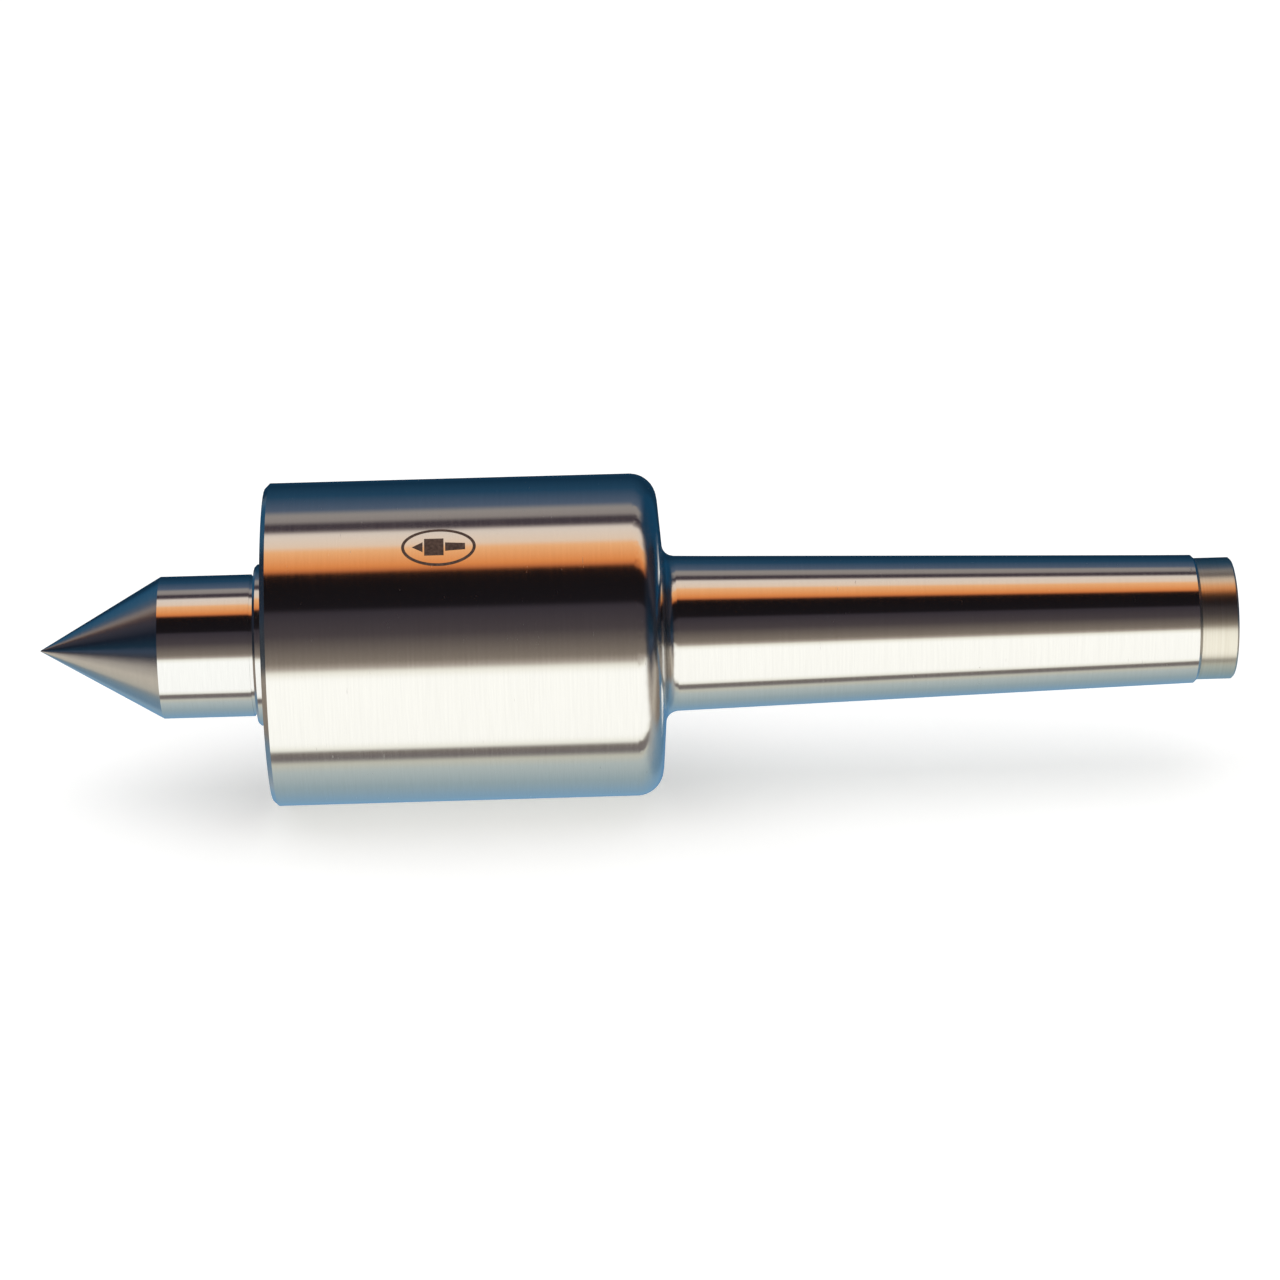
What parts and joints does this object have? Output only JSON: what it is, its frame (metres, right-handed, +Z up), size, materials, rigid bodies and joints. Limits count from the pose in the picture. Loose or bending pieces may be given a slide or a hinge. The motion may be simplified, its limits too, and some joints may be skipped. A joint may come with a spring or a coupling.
{
  "type": "live center",
  "caption": "Bearing-supported lathe centre with a 60 degree point, a plain round head and a self-holding taper shank.",
  "frame": {"origin": "on the axis, at the gauge line of the Morse taper", "axes": "+X along the axis from the gauge line towards the small end of the shank, the point towards -X, +Z up; the part is round about X"},
  "size_m": [0.2402, 0.065, 0.065],
  "materials": {
    "ground_body_steel": "hardened steel, cylindrically ground, fine marks round the axis",
    "ground_spindle_steel": "hardened tool steel, finely ground point and nose",
    "turned_cap_steel": "turned steel, satin",
    "bearing_steel": "hardened bearing steel, ground, with polished tracks",
    "ball_steel": "hardened bearing steel, lapped to a mirror",
    "pressed_steel": "cold-rolled sheet steel, pressed, lightly oiled",
    "blackened_steel": "black oxide on turned steel",
    "spring_steel": "hardened spring steel, oil-tempered",
    "brass": "plain turned brass",
    "nitrile_rubber": "moulded nitrile rubber, matte"
  },
  "bodies": {
    "housing": {"head_and_shank": "ground_body_steel", "front_cap": "turned_cap_steel", "cap_o_ring": "nitrile_rubber", "seal_case": "pressed_steel", "seal_lip": "nitrile_rubber", "seal_garter_spring": "spring_steel", "cap_lock_screw": "blackened_steel", "cap_lock_pad": "brass", "front_bearing_outer_ring": "bearing_steel", "thrust_bearing_housing_washer": "bearing_steel", "disc_spring_front": "spring_steel", "disc_spring_rear": "spring_steel", "needle_bearing_cup": "bearing_steel"},
    "spindle": {"center_spindle": "ground_spindle_steel", "front_bearing_inner_ring": "bearing_steel", "lock_washer": "pressed_steel", "spindle_locknut": "blackened_steel", "thrust_bearing_shaft_washer": "bearing_steel"},
    "front_ball_row": {"front_bearing_front_balls": "ball_steel", "front_bearing_front_cage": "pressed_steel"},
    "rear_ball_row": {"front_bearing_rear_balls": "ball_steel", "front_bearing_rear_cage": "pressed_steel"},
    "thrust_ball_set": {"thrust_bearing_balls": "ball_steel", "thrust_bearing_cage": "pressed_steel"},
    "needle_set": {"needle_rollers": "ball_steel", "needle_bearing_cage": "pressed_steel"}
  },
  "joints": [
    {"name": "spindle_spin", "type": "hinge", "parent": "housing", "child": "spindle", "pos_m": [0, 0, 0], "axis": [1, 0, 0], "continuous": true},
    {"name": "front_row_orbit", "type": "hinge", "parent": "housing", "child": "front_ball_row", "pos_m": [0, 0, 0], "axis": [1, 0, 0], "continuous": true},
    {"name": "rear_row_orbit", "type": "hinge", "parent": "housing", "child": "rear_ball_row", "pos_m": [0, 0, 0], "axis": [1, 0, 0], "continuous": true},
    {"name": "thrust_orbit", "type": "hinge", "parent": "housing", "child": "thrust_ball_set", "pos_m": [0, 0, 0], "axis": [1, 0, 0], "continuous": true},
    {"name": "needle_orbit", "type": "hinge", "parent": "housing", "child": "needle_set", "pos_m": [0, 0, 0], "axis": [1, 0, 0], "continuous": true}
  ],
  "couplings": [
    {"joint": "front_row_orbit", "follows": "spindle_spin", "ratio": 0.41072},
    {"joint": "rear_row_orbit", "follows": "spindle_spin", "ratio": 0.41072},
    {"joint": "thrust_orbit", "follows": "spindle_spin", "ratio": 0.5},
    {"joint": "needle_orbit", "follows": "spindle_spin", "ratio": 0.44138}
  ]
}
